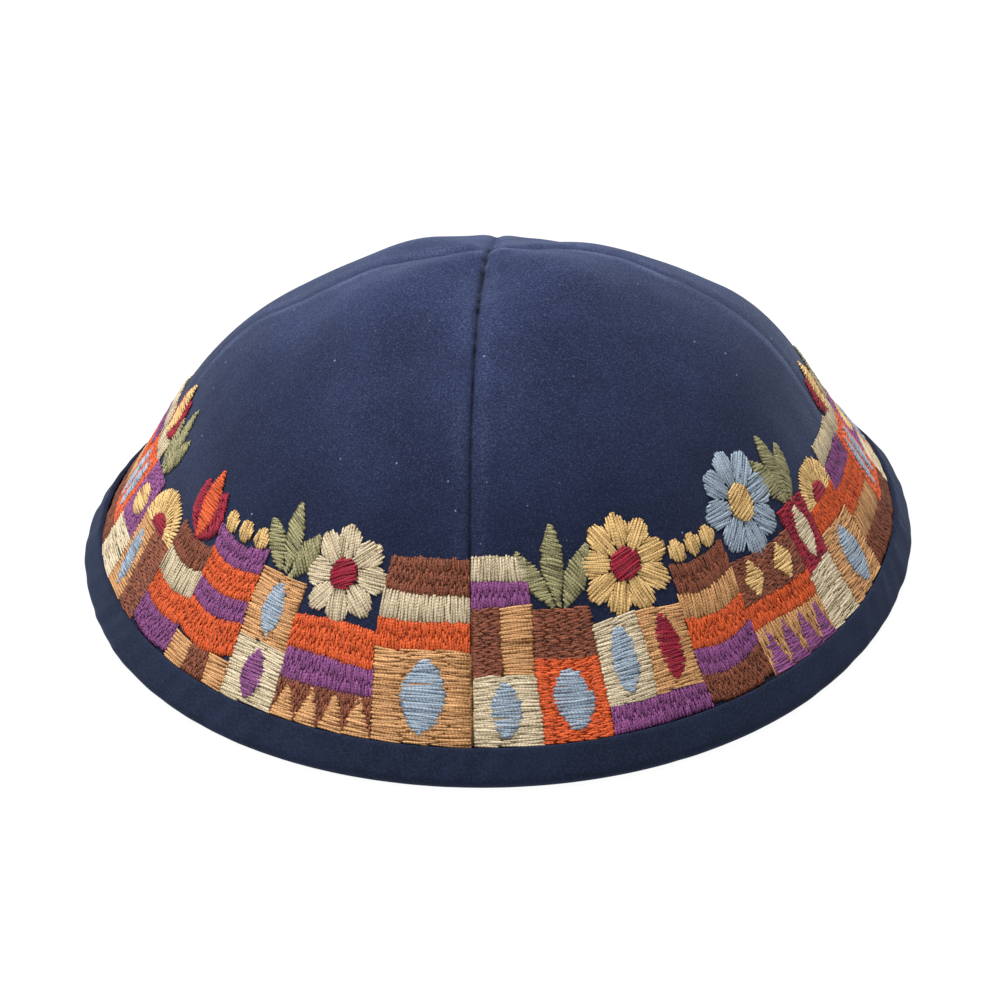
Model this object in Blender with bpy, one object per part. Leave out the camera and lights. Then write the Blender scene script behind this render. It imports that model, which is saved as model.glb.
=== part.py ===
"""A four-panel skullcap of brushed suede cloth, standing on its rim as it does on a table.

Four quarter panels meet at seams on the X and Y axes, with the front seam at -Y. A folded strip binds
the rim, and a raised band of embroidery runs round the lower part of every panel.
Metres, +Z up, with the origin on the table under the middle of the cap.
"""

import math
from collections import namedtuple

import bpy
from mathutils import Vector

# Driving sizes of the cap
RIM_RADIUS = 0.0883         # middle of the cap to the outside of the binding, before the rim's waves
CAP_HEIGHT = 0.0695         # table to the point where the four seams meet
CLOTH_THICKNESS = 0.0014    # suede cloth with its fused backing
BINDING_WIDTH = 0.0074      # visible height of the binding outside, and its height inside
BINDING_THICKNESS = 0.0009  # strip folded in two layers
BINDING_SQUASH = 0.00015    # how far the fold is pressed flat where the cap stands on it
BAND_HEIGHT = 0.040         # embroidery above the binding, where a motif with height share 1 ends
THREAD_LIFT = 0.0004        # under the stitches, so that their flat facets clear the panel's
THREAD_RISE = 0.0006        # thickness of the layer of stitches
SEAM_GAP = 0.0006           # between the cut edges of two panels
CLEARANCE = 0.0003          # between pieces that touch

# Shape of the soft crown, as shares of the cloth's radius
SIDE_LEAN = 0.145           # the right side is fuller than the left one
BACK_LEAN = -0.178          # the back has sunk a little
END_FLATNESS = 0.160        # front and back stand less full than the sides
SIDE_BOW = 0.085            # front and back seams bow to the left halfway up
PANEL_SQUARENESS = 0.016    # the rim reaches out a little more at the middle of each panel

# Soft dents of the crown, with depths as shares of the cloth's radius. A bulge has a negative depth.
Dent = namedtuple("Dent", "azimuth_deg reach depth wide_deg long")
DENTS = (
    Dent(45, 0.32, 0.056, 26, 0.20),    # the back of the top has sunk in
    Dent(178, 0.56, -0.016, 26, 0.10),  # the left shoulder bulges over the border
    Dent(178, 0.73, 0.012, 24, 0.08),   # and turns in at the border's top edge
    Dent(4, 0.61, -0.017, 26, 0.10),    # the right shoulder bulges too
)

# Heights of the crown from the top to the cut edge, as shares of the cap's height above that edge.
# The panel column holds the line up the middle of a panel, the seam column the line of a seam.
CrownRow = namedtuple("CrownRow", "reach seam panel")
CROWN_ROWS = (
    CrownRow(0.00, 1.000, 1.000),
    CrownRow(0.14, 0.980, 1.015),
    CrownRow(0.28, 0.955, 0.985),
    CrownRow(0.42, 0.875, 0.880),
    CrownRow(0.56, 0.760, 0.740),
    CrownRow(0.70, 0.590, 0.565),
    CrownRow(0.82, 0.350, 0.325),
    CrownRow(0.92, 0.155, 0.130),
    CrownRow(1.00, 0.000, 0.000),
)

# How the soft rim departs from a circle, as shares of the cloth's radius
RimWave = namedtuple("RimWave", "lobes share turn_deg")
RIM_WAVES = (
    RimWave(2, 0.015, 45),
    RimWave(3, 0.021, 35),
)
RIM_SHIFT = (0.0003, 0.0017)    # puts the middle of the uneven rim over the origin, in metres

# Top edge of the embroidery, from the panel's left seam to its right one, seen from outside.
# Widths are shares of the panel, heights shares of BAND_HEIGHT.
Motif = namedtuple("Motif", "width height form")
GARDEN = (
    Motif(0.12, 1.00, "pointed"),
    Motif(0.09, 0.96, "pointed"),
    Motif(0.13, 0.65, "round"),
    Motif(0.12, 0.94, "pointed"),
    Motif(0.14, 0.80, "flat"),
    Motif(0.09, 1.00, "pointed"),
    Motif(0.16, 0.98, "round"),
    Motif(0.15, 0.87, "flat"),
)
ORCHARD = (
    Motif(0.10, 0.88, "flat"),
    Motif(0.10, 1.04, "pointed"),
    Motif(0.16, 1.02, "round"),
    Motif(0.13, 0.80, "flat"),
    Motif(0.16, 1.10, "round"),
    Motif(0.08, 1.05, "pointed"),
    Motif(0.13, 0.76, "round"),
    Motif(0.14, 0.74, "flat"),
)
SHOULDER = 0.84             # where the crown of a round or pointed motif begins, as a share of its height

# Fineness of the faceted solids
PANEL_CELLS = 14            # cells along each seam of a panel
CROWN_SWEEP = math.radians(60)  # how far the crown turns from top to edge, which keeps the cells even
RIM_CELLS = 8 * PANEL_CELLS
BAND_ROWS = 7
FORM_COLUMNS = {            # places across a motif where its top edge is set
    "flat": (0.06, 0.5, 0.94),
    "round": (0.06, 0.25, 0.5, 0.75, 0.94),
    "pointed": (0.06, 0.5, 0.94),
}
FOLD_TURNS = (-45, 10, 50)  # degrees round the fold, from the outer face to the inner one
WALL_STEP = 0.01            # reach walked in one step when a distance up the wall is measured
PLAN_STEP = 0.002           # reach over which a surface normal is measured

Panel = namedtuple("Panel", "name quarter motifs")
PANELS = (
    Panel("back_right", 0, GARDEN),
    Panel("back_left", 1, ORCHARD),
    Panel("front_left", 2, GARDEN),
    Panel("front_right", 3, ORCHARD),
)
QUARTER = math.pi / 2

BINDING_BUILD = CLEARANCE + BINDING_THICKNESS
CLOTH_RADIUS = RIM_RADIUS - BINDING_BUILD
FOLD_RADIUS = CLOTH_THICKNESS / 2 + BINDING_BUILD
EDGE_HEIGHT = FOLD_RADIUS - BINDING_SQUASH + CLOTH_THICKNESS / 4


def smooth_column(column, reach):
    """Reads a column of CROWN_ROWS at any reach, through a smooth curve."""
    last = len(CROWN_ROWS) - 1
    index = 0
    while index < last - 1 and reach > CROWN_ROWS[index + 1].reach:
        index += 1

    def slope(i):
        if i == 0:
            return 0.0
        low, high = max(i - 1, 0), min(i + 1, last)
        rise = getattr(CROWN_ROWS[high], column) - getattr(CROWN_ROWS[low], column)
        return rise / (CROWN_ROWS[high].reach - CROWN_ROWS[low].reach)

    start, end = CROWN_ROWS[index], CROWN_ROWS[index + 1]
    span = end.reach - start.reach
    t = (reach - start.reach) / span
    return (
        (2 * t**3 - 3 * t**2 + 1) * getattr(start, column)
        + (t**3 - 2 * t**2 + t) * span * slope(index)
        + (3 * t**2 - 2 * t**3) * getattr(end, column)
        + (t**3 - t**2) * span * slope(index + 1)
    )


def degrees_between(turn, other):
    return (turn - other + 180) % 360 - 180


def crown_point(plan_x, plan_y):
    """A point of the cloth's outer face. The plan is a unit disc, with reach 1 at the cut edge."""
    reach = math.hypot(plan_x, plan_y)
    azimuth = math.atan2(plan_y, plan_x)
    to_panel = (1 - math.cos(4 * azimuth)) / 2
    share = smooth_column("seam", reach) * (1 - to_panel) + smooth_column("panel", reach) * to_panel
    lean = (
        SIDE_LEAN * math.cos(azimuth)
        + BACK_LEAN * math.sin(azimuth)
        - END_FLATNESS * math.sin(azimuth) ** 2
    )
    waves = sum(
        wave.share * math.cos(wave.lobes * (azimuth - math.radians(wave.turn_deg))) for wave in RIM_WAVES
    )
    widening = 1 + reach**2 * (waves + PANEL_SQUARENESS * (to_panel - 0.5))
    midway = reach * (1 - reach)
    sunk = sum(
        dent.depth
        * math.exp(-((degrees_between(math.degrees(azimuth), dent.azimuth_deg) / dent.wide_deg) ** 2))
        * math.exp(-(((reach - dent.reach) / dent.long) ** 2))
        for dent in DENTS
    )
    return Vector((
        RIM_SHIFT[0] + CLOTH_RADIUS * (plan_x * widening - SIDE_BOW * midway),
        RIM_SHIFT[1] + CLOTH_RADIUS * plan_y * widening,
        EDGE_HEIGHT + (CAP_HEIGHT - EDGE_HEIGHT) * share + CLOTH_RADIUS * (lean * midway - sunk),
    ))


def layer_point(plan_x, plan_y, depth):
    """A point at a depth under the cloth's outer face, or above it where the depth is negative."""
    along_x = crown_point(plan_x + PLAN_STEP, plan_y) - crown_point(plan_x - PLAN_STEP, plan_y)
    along_y = crown_point(plan_x, plan_y + PLAN_STEP) - crown_point(plan_x, plan_y - PLAN_STEP)
    return crown_point(plan_x, plan_y) - along_x.cross(along_y).normalized() * depth


def wall_point(azimuth, up, depth):
    """A point a distance up the wall from the cut edge, at a depth. Below the edge, up is negative."""
    across, along = math.cos(azimuth), math.sin(azimuth)
    reach, walked = 1.0, 0.0
    here = crown_point(across, along)
    while True:
        above = crown_point(across * (reach - WALL_STEP), along * (reach - WALL_STEP))
        stride = (above - here).length
        if up < 0:
            return layer_point(across, along, depth) + (above - here) * (up / stride)
        if walked + stride >= up:
            reach -= WALL_STEP * (up - walked) / stride
            return layer_point(across * reach, along * reach, depth)
        walked += stride
        reach -= WALL_STEP
        here = above


def principled(name, color, roughness, sheen):
    material = bpy.data.materials.new(name)
    material.use_nodes = True
    shader = material.node_tree.nodes["Principled BSDF"]
    shader.inputs["Base Color"].default_value = (*color, 1.0)
    shader.inputs["Roughness"].default_value = roughness
    shader.inputs["Metallic"].default_value = 0.0
    shader.inputs["Sheen Weight"].default_value = sheen
    material.diffuse_color = (*color, 1.0)
    return material


def new_object(name, mesh, material, collection, parent):
    mesh.materials.clear()
    mesh.materials.append(material)
    mesh.shade_smooth()
    mesh.set_sharp_from_angle(angle=math.radians(50))
    piece = bpy.data.objects.new(name, mesh)
    collection.objects.link(piece)
    piece.parent = parent
    return piece


def closed_shell(name, columns, rows, outer, inner, closed_round=False):
    """A closed mesh between an outer and an inner sheet, both given as point(column, row).

    Columns run to the right and rows run up, seen from outside. A sheet that is closed round joins
    its last column to its first.
    """
    count = columns if closed_round else columns + 1
    sheet_size = count * (rows + 1)
    verts = [point(c, r) for point in (outer, inner) for c in range(count) for r in range(rows + 1)]

    def at(column, row, sheet):
        return sheet * sheet_size + (column % count) * (rows + 1) + row

    faces = []
    for c in range(columns):
        for r in range(rows):
            corners = ((c, r), (c + 1, r), (c + 1, r + 1), (c, r + 1))
            faces.append([at(*corner, 0) for corner in corners])
            faces.append([at(*corner, 1) for corner in reversed(corners)])
        faces.append([at(c, 0, 0), at(c, 0, 1), at(c + 1, 0, 1), at(c + 1, 0, 0)])
        faces.append([at(c + 1, rows, 0), at(c + 1, rows, 1), at(c, rows, 1), at(c, rows, 0)])
    for r in range(0 if closed_round else rows):
        faces.append([at(0, r + 1, 0), at(0, r + 1, 1), at(0, r, 1), at(0, r, 0)])
        faces.append([at(columns, r, 0), at(columns, r, 1), at(columns, r + 1, 1), at(columns, r + 1, 0)])
    mesh = bpy.data.meshes.new(name)
    mesh.from_pydata(verts, [], faces)
    mesh.validate()
    return mesh


def quarter_plan(along, across):
    """Maps a square of cells to a quarter of the unit disc with even cells, between the two seams."""
    outward = max(along, across)
    reach = math.sin(CROWN_SWEEP * outward) / math.sin(CROWN_SWEEP)
    if outward == 0:
        angle = 0.0
    elif along >= across:
        angle = QUARTER / 2 * across / along
    else:
        angle = QUARTER - QUARTER / 2 * along / across
    half_gap = SEAM_GAP / 2 / CLOTH_RADIUS
    inside_gap = 1 - half_gap
    return half_gap + inside_gap * reach * math.cos(angle), half_gap + inside_gap * reach * math.sin(angle)


def panel_mesh(panel):
    """One quarter of the crown, a cloth wall from the top to the edge inside the binding."""
    turn_cos = round(math.cos(panel.quarter * QUARTER))
    turn_sin = round(math.sin(panel.quarter * QUARTER))

    def sheet(depth):
        def point(column, row):
            x, y = quarter_plan(column / PANEL_CELLS, row / PANEL_CELLS)
            plan_x, plan_y = x * turn_cos - y * turn_sin, x * turn_sin + y * turn_cos
            return layer_point(plan_x, plan_y, depth)
        return point

    return closed_shell(panel.name, PANEL_CELLS, PANEL_CELLS, sheet(0), sheet(CLOTH_THICKNESS))


def binding_section(azimuth):
    """The folded strip, cut across: down the outside, round the edge, up the inside, and the slot."""
    outside = -BINDING_BUILD
    inside = CLOTH_THICKNESS + BINDING_BUILD
    top = BINDING_WIDTH - FOLD_RADIUS
    outer_face = [wall_point(azimuth, up, outside) for up in (top, top / 2, 0)]
    inner_face = [wall_point(azimuth, up, inside) for up in (0, top / 2, top)]
    fold = []
    for turn_deg in FOLD_TURNS:
        turn = math.radians(turn_deg)
        depth = CLOTH_THICKNESS / 2 + FOLD_RADIUS * math.sin(turn)
        fold.append(wall_point(azimuth, -FOLD_RADIUS * math.cos(turn), depth))
    for point in fold + inner_face:
        point.z = max(point.z, 0.0)
    slot_inside = [wall_point(azimuth, up, CLOTH_THICKNESS + CLEARANCE) for up in (top, -CLEARANCE)]
    slot_outside = [wall_point(azimuth, up, -CLEARANCE) for up in (-CLEARANCE, top)]
    return outer_face + fold + inner_face + slot_inside + slot_outside


def binding_mesh():
    """The strip, lofted once round the rim through its sections."""
    sections = [binding_section(2 * math.pi * i / RIM_CELLS) for i in range(RIM_CELLS)]
    size = len(sections[0])
    verts = [point for section in sections for point in section]
    faces = []
    for i in range(RIM_CELLS):
        here, there = i * size, (i + 1) % RIM_CELLS * size
        for k in range(size):
            after = (k + 1) % size
            faces.append([here + k, here + after, there + after, there + k])
    mesh = bpy.data.meshes.new("rim_binding")
    mesh.from_pydata(verts, [], faces)
    mesh.validate()
    return mesh


def crest_share(motif, across):
    """Height of a motif's top edge, from 0 at its left side to 1 at its right, as a share of its height."""
    off_middle = min(1.0, abs(2 * across - 1))
    if motif.form == "round":
        return SHOULDER + (1 - SHOULDER) * math.sqrt(1 - off_middle**2)
    if motif.form == "pointed":
        return SHOULDER + (1 - SHOULDER) * (1 - off_middle)
    return 1.0


def band_columns(motifs):
    """Places along a panel, as shares of its width, with the height of the embroidery there."""
    total = sum(motif.width for motif in motifs)
    columns, start = [], 0.0
    for motif in motifs:
        places = FORM_COLUMNS[motif.form]
        heights = [BAND_HEIGHT * motif.height * crest_share(motif, across) for across in places]
        joint = (columns[-1][1] + heights[0]) / 2 if columns else heights[0]
        columns.append((start / total, joint))
        for across, height in zip(places, heights):
            columns.append(((start + motif.width * across) / total, height))
        start += motif.width
    columns.append((1.0, columns[-1][1]))
    return columns


def embroidery_mesh(panel):
    """The raised band of stitches on one panel, with the top edge that its motifs give it."""
    columns = band_columns(panel.motifs)
    half_gap = (SEAM_GAP / 2 + CLEARANCE) / CLOTH_RADIUS
    first = panel.quarter * QUARTER + half_gap
    sweep = QUARTER - 2 * half_gap
    low = BINDING_WIDTH - FOLD_RADIUS + CLEARANCE

    def sheet(depth):
        def point(column, row):
            across, height = columns[column]
            return wall_point(first + sweep * across, low + height * row / BAND_ROWS, depth)
        return point

    under, over = -THREAD_LIFT, -(THREAD_LIFT + THREAD_RISE)
    return closed_shell(panel.name, len(columns) - 1, BAND_ROWS, sheet(over), sheet(under))


def clear_scene():
    for old in list(bpy.data.objects):
        bpy.data.objects.remove(old, do_unlink=True)


def main():
    clear_scene()
    cap = bpy.data.collections.new("skullcap")
    bpy.context.scene.collection.children.link(cap)
    stand = bpy.data.objects.new("cap_origin", None)
    cap.objects.link(stand)

    suede = principled("navy_suede_cloth", (0.030, 0.037, 0.085), 0.92, 0.4)
    strip = principled("dark_navy_binding_cloth", (0.012, 0.017, 0.042), 0.65, 0.1)
    thread = principled("mixed_rayon_thread", (0.62, 0.34, 0.17), 0.45, 0.0)

    for panel in PANELS:
        new_object("panel_" + panel.name, panel_mesh(panel), suede, cap, stand)
        new_object("embroidery_" + panel.name, embroidery_mesh(panel), thread, cap, stand)
    new_object("rim_binding", binding_mesh(), strip, cap, stand)


main()
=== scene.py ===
"""Dresses the skullcap: brushed suede panels, folded cloth binding and stitch-by-stitch embroidery."""

import math
from collections import namedtuple

import bpy
import numpy as np
from mathutils import Matrix, Vector


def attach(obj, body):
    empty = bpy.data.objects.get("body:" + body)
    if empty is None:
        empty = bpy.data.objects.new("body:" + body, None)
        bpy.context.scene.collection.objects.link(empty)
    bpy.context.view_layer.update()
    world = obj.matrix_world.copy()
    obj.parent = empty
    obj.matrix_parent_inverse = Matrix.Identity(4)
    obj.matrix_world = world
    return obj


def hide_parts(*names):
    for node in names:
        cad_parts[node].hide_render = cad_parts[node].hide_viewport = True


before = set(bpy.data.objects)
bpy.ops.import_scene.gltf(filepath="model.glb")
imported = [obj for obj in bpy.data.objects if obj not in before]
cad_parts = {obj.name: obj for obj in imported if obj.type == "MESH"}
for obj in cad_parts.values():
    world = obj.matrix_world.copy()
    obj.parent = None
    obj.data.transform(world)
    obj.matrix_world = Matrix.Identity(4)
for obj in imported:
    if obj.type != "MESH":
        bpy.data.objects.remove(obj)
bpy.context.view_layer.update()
random = np.random.default_rng(1848)

MM = 0.001

# The cap's own sizes, the same as in the part
RIM_RADIUS = 0.0883
CAP_HEIGHT = 0.0695
CLOTH_THICKNESS = 0.0014
BINDING_WIDTH = 0.0074
BINDING_THICKNESS = 0.0009
BINDING_SQUASH = 0.00015
CLEARANCE = 0.0003
SIDE_LEAN = 0.145
BACK_LEAN = -0.178
END_FLATNESS = 0.160
SIDE_BOW = 0.085
PANEL_SQUARENESS = 0.016
RIM_SHIFT = (0.0003, 0.0017)

# The sewing isn't quite straight: the long seam strays to the left at the top and to the right behind it
SeamBend = namedtuple("SeamBend", "plan_y shift long")
SEAM_BENDS = (
    SeamBend(-0.06, -0.0010, 0.26),
    SeamBend(0.42, 0.0011, 0.20),
)
SEAM_BEND_WIDE = 0.45

Dent = namedtuple("Dent", "azimuth_deg reach depth wide_deg long")
DENTS = (
    Dent(45, 0.32, 0.056, 26, 0.20),
    Dent(178, 0.56, -0.016, 26, 0.10),
    Dent(178, 0.73, 0.012, 24, 0.08),
    Dent(4, 0.61, -0.017, 26, 0.10),
)

# Where the soft cloth swells a little past the part's smooth wall, 1 to 2 mm at most
SWELLS = (
    Dent(24, 0.75, -0.018, 16, 0.11),
    Dent(60, 0.50, -0.010, 18, 0.12),
    Dent(154, 0.74, -0.010, 16, 0.10),
)

CrownRow = namedtuple("CrownRow", "reach seam panel")
CROWN_ROWS = (
    CrownRow(0.00, 1.000, 1.000),
    CrownRow(0.14, 0.980, 1.015),
    CrownRow(0.28, 0.955, 0.985),
    CrownRow(0.42, 0.875, 0.880),
    CrownRow(0.56, 0.760, 0.740),
    CrownRow(0.70, 0.590, 0.565),
    CrownRow(0.82, 0.350, 0.325),
    CrownRow(0.92, 0.155, 0.130),
    CrownRow(1.00, 0.000, 0.000),
)

RimWave = namedtuple("RimWave", "lobes share turn_deg")
RIM_WAVES = (
    RimWave(2, 0.015, 45),
    RimWave(3, 0.021, 35),
)

Panel = namedtuple("Panel", "name quarter")
PANELS = (
    Panel("back_right", 0),
    Panel("back_left", 1),
    Panel("front_left", 2),
    Panel("front_right", 3),
)
QUARTER = math.pi / 2

BINDING_BUILD = CLEARANCE + BINDING_THICKNESS
CLOTH_RADIUS = RIM_RADIUS - BINDING_BUILD
FOLD_RADIUS = CLOTH_THICKNESS / 2 + BINDING_BUILD
EDGE_HEIGHT = FOLD_RADIUS - BINDING_SQUASH + CLOTH_THICKNESS / 4
BINDING_TOP = BINDING_WIDTH - FOLD_RADIUS


# The cloth's surface

def crown_curve(column):
    """A column of CROWN_ROWS as a smooth curve, read at many reaches at once."""
    reaches = np.array([row.reach for row in CROWN_ROWS])
    heights = np.array([getattr(row, column) for row in CROWN_ROWS])
    slopes = np.empty_like(heights)
    slopes[0] = 0
    slopes[1:-1] = (heights[2:] - heights[:-2]) / (reaches[2:] - reaches[:-2])
    slopes[-1] = (heights[-1] - heights[-2]) / (reaches[-1] - reaches[-2])

    def at(reach):
        i = np.clip(np.searchsorted(reaches, reach, side="right") - 1, 0, len(reaches) - 2)
        span = reaches[i + 1] - reaches[i]
        t = (reach - reaches[i]) / span
        return (
            (2 * t**3 - 3 * t**2 + 1) * heights[i]
            + (t**3 - 2 * t**2 + t) * span * slopes[i]
            + (3 * t**2 - 2 * t**3) * heights[i + 1]
            + (t**3 - t**2) * span * slopes[i + 1]
        )

    return at


seam_height = crown_curve("seam")
panel_height = crown_curve("panel")


def crown(plan_x, plan_y):
    """Points of the smooth cloth. The plan is a unit disc, with reach 1 at the cut edge."""
    reach = np.hypot(plan_x, plan_y)
    azimuth = np.arctan2(plan_y, plan_x)
    to_panel = (1 - np.cos(4 * azimuth)) / 2
    share = seam_height(reach) * (1 - to_panel) + panel_height(reach) * to_panel
    lean = SIDE_LEAN * np.cos(azimuth) + BACK_LEAN * np.sin(azimuth) - END_FLATNESS * np.sin(azimuth) ** 2
    waves = sum(w.share * np.cos(w.lobes * azimuth - math.radians(w.lobes * w.turn_deg)) for w in RIM_WAVES)
    widening = 1 + reach**2 * (waves + PANEL_SQUARENESS * (to_panel - 0.5))
    midway = reach * (1 - reach)
    sunk = sum(
        dent.depth
        * np.exp(-((((np.degrees(azimuth) - dent.azimuth_deg + 180) % 360 - 180) / dent.wide_deg) ** 2))
        * np.exp(-(((reach - dent.reach) / dent.long) ** 2))
        for dent in DENTS + SWELLS
    )
    bend = sum(
        b.shift * np.exp(-(((plan_y - b.plan_y) / b.long) ** 2) - (plan_x / SEAM_BEND_WIDE) ** 2)
        for b in SEAM_BENDS
    )
    x = RIM_SHIFT[0] + CLOTH_RADIUS * (plan_x * widening - SIDE_BOW * midway) + bend
    y = RIM_SHIFT[1] + CLOTH_RADIUS * plan_y * widening
    z = EDGE_HEIGHT + (CAP_HEIGHT - EDGE_HEIGHT) * share + CLOTH_RADIUS * (lean * midway - sunk)
    return np.stack([x, y, z], axis=-1)


def unit(vectors):
    return vectors / np.maximum(np.linalg.norm(vectors, axis=-1, keepdims=True), 1e-12)


def outward(plan_x, plan_y):
    """The cloth's outward direction."""
    step = 0.002
    along_x = crown(plan_x + step, plan_y) - crown(plan_x - step, plan_y)
    along_y = crown(plan_x, plan_y + step) - crown(plan_x, plan_y - step)
    return unit(np.cross(along_x, along_y))


RIPPLE_WAVES = 9


def ripples(x, y, wavelength, seed):
    """Soft uneven waves between about -1 and 1, the same on every run."""
    draw = np.random.default_rng(seed)
    total = 0
    for _ in range(RIPPLE_WAVES):
        heading = draw.uniform(0, 2 * math.pi)
        pace = 2 * math.pi / (wavelength * draw.uniform(0.7, 1.5))
        phase = draw.uniform(0, 6.28)
        total = total + np.sin((x * math.cos(heading) + y * math.sin(heading)) * pace + phase)
    return total / math.sqrt(RIPPLE_WAVES)


Ripple = namedtuple("Ripple", "height wavelength seed")


def rippled(kind, x, y):
    return kind.height * ripples(x, y, kind.wavelength, kind.seed)


BROAD_WAVES = Ripple(0.30 * MM, 34 * MM, 3)     # the soft cloth is nowhere quite even
SMALL_WAVES = Ripple(0.08 * MM, 11 * MM, 4)


# How the cloth turns in at a seam. The front one is pulled tightest; the others are flatter and softer.
Seam = namedtuple("Seam", "depth half_width shade wear")
SIDE_SEAM = Seam(0.26 * MM, 1.20 * MM, 0.38, 0.50)
FRONT_SEAM = Seam(0.95 * MM, 0.52 * MM, 0.90, 0.14)
BACK_SEAM = Seam(0.60 * MM, 1.00 * MM, 0.50, 0.18)
CHANGE_REACH = 1.2 * MM         # the front seam turns into the back one this close to the top
RIDGE_HEIGHT = 0.24 * MM        # the turned-in allowance lifts the cloth beside the seam
RIDGE_FROM_SEAM = 3.0 * MM
RIDGE_HALF_WIDTH = 1.9 * MM
PUCKER_HEIGHT = 0.10 * MM       # the thread's tension gathers the cloth
PUCKER_LENGTH = 5.5 * MM
PUCKER_REACH = 4 * MM
APEX_REACH = 2.5 * MM           # seams lose their depth where the four meet
APEX_DEPTH = 0.3                # down to this share of it
TIGHT_REACH = 30 * MM           # farther than this from the top they lie slack and thin
SLACK_SHARE = 0.34


def seam_lines(x, y):
    """For each seam line: place across it and along it, its seed and its kind where it is nearest."""
    front_share = 1 / (1 + np.exp(y / CHANGE_REACH))
    mixed = Seam(*[f * front_share + b * (1 - front_share) for f, b in zip(FRONT_SEAM, BACK_SEAM)])
    return ((y, x, 5, SIDE_SEAM), (x, y, 6, mixed))


def tightness(along):
    """How tightly a seam is pulled, from 1 at the top down to SLACK_SHARE."""
    return SLACK_SHARE + (1 - SLACK_SHARE) * np.exp(-((along / TIGHT_REACH) ** 2))


def hump(distance, half_width):
    return np.exp(-((distance / half_width) ** 2))


def relief(plan_x, plan_y):
    """How far the real cloth stands off the smooth one: seams, puckers beside them, and soft waves."""
    x, y = plan_x * CLOTH_RADIUS, plan_y * CLOTH_RADIUS
    height = rippled(BROAD_WAVES, x, y) + rippled(SMALL_WAVES, x, y)
    away = 1 - np.exp(-((x**2 + y**2) / APEX_REACH**2))
    for across, along, seed, seam in seam_lines(x, y):
        sink = seam.depth * (APEX_DEPTH + (1 - APEX_DEPTH) * away) * hump(across, seam.half_width)
        ridge = RIDGE_HEIGHT * hump(np.abs(across) - RIDGE_FROM_SEAM, RIDGE_HALF_WIDTH)
        gathers = PUCKER_HEIGHT * ripples(along, 0 * along, PUCKER_LENGTH, seed)
        height = height + tightness(along) * (ridge + gathers * hump(across, PUCKER_REACH) - sink)
    return height


SHADE_WIDTH = 0.85 * MM         # of the dark line that the seam's valley makes
SHADE_EVENNESS = 0.72
SHADE_PATCH = 4 * MM
RUB_AND_HIGHLIGHT_FROM_SEAM = 2.3 * MM        # the pale band on the ridge beside a seam, of nap worn by hands and partly a painted highlight
RUB_AND_HIGHLIGHT_HALF_WIDTH = 1.4 * MM
RUB_AND_HIGHLIGHT_PATCH = 17 * MM
RUB_AND_HIGHLIGHT_COVER, RUB_AND_HIGHLIGHT_PATCHINESS = 0.45, 0.5
SLACK_RUB_AND_HIGHLIGHT = 0.4
BACK_RUB_AND_HIGHLIGHT = 0.40                 # the pale band, partly a painted highlight, is weaker on the side seams' back side, away from the front light
WALL_SHADE_START, WALL_SHADE_FULL = 0.97, 0.66   # how far up the cloth faces where the painted shade of the steep walls starts, and where it is full


def cloth_looks(plan_x, plan_y):
    """Painted shade inside the seams, a pale band beside them of worn nap and partly a painted highlight,
    and painted shade on the steep walls, all from 0 to 1.
    """
    x, y = plan_x * CLOTH_RADIUS, plan_y * CLOTH_RADIUS
    shade, wear = 0 * x, 0 * x
    for across, along, seed, seam in seam_lines(x, y):
        tight = tightness(along)
        uneven = SHADE_EVENNESS + (1 - SHADE_EVENNESS) * ripples(along, across * 0, SHADE_PATCH, seed + 20)
        shade = np.maximum(shade, seam.shade * uneven * hump(across, SHADE_WIDTH * tight))
        patches = RUB_AND_HIGHLIGHT_PATCHINESS * ripples(along, across, RUB_AND_HIGHLIGHT_PATCH, seed + 30)
        beside = hump(np.abs(across) - RUB_AND_HIGHLIGHT_FROM_SEAM, RUB_AND_HIGHLIGHT_HALF_WIDTH)
        side = np.where(across > 0, BACK_RUB_AND_HIGHLIGHT, 1.0) if seam is SIDE_SEAM else 1.0
        rubbed_and_highlit = seam.wear * side * (SLACK_RUB_AND_HIGHLIGHT + (1 - SLACK_RUB_AND_HIGHLIGHT) * tight)
        wear = np.maximum(wear, rubbed_and_highlit * np.clip(RUB_AND_HIGHLIGHT_COVER + patches, 0, 1) * beside)
    slope = outward(plan_x, plan_y)[..., 2]
    # painted shade: the colour is darker where the cloth faces less upwards, on the steep walls
    steep_shade = np.clip((WALL_SHADE_START - slope) / (WALL_SHADE_START - WALL_SHADE_FULL), 0, 1)
    return np.clip(shade, 0, 1), np.clip(wear, 0, 1), steep_shade


def on_cloth(plan_x, plan_y, lift=0.0):
    """Points a distance above the real cloth, or under it where lift is negative."""
    stand = relief(plan_x, plan_y) + lift
    return crown(plan_x, plan_y) + outward(plan_x, plan_y) * stand[..., None]


# Reach for each azimuth and distance up the wall, so that heights are measured along the cloth
AZIMUTH_STEPS = 720
WALK_STEPS = 181
WALK_END = 0.1
UP_STEPS = 141
UP_END = 70 * MM


def reach_table():
    azimuths = np.linspace(0, 2 * math.pi, AZIMUTH_STEPS + 1)
    reaches = np.linspace(1, WALK_END, WALK_STEPS)
    ups = np.linspace(0, UP_END, UP_STEPS)
    table = np.empty((AZIMUTH_STEPS + 1, UP_STEPS))
    for i, azimuth in enumerate(azimuths):
        line = crown(reaches * math.cos(azimuth), reaches * math.sin(azimuth))
        walked = np.concatenate([[0], np.cumsum(np.linalg.norm(np.diff(line, axis=0), axis=1))])
        table[i] = np.interp(ups, walked, reaches)
    return table


REACHES = reach_table()


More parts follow.
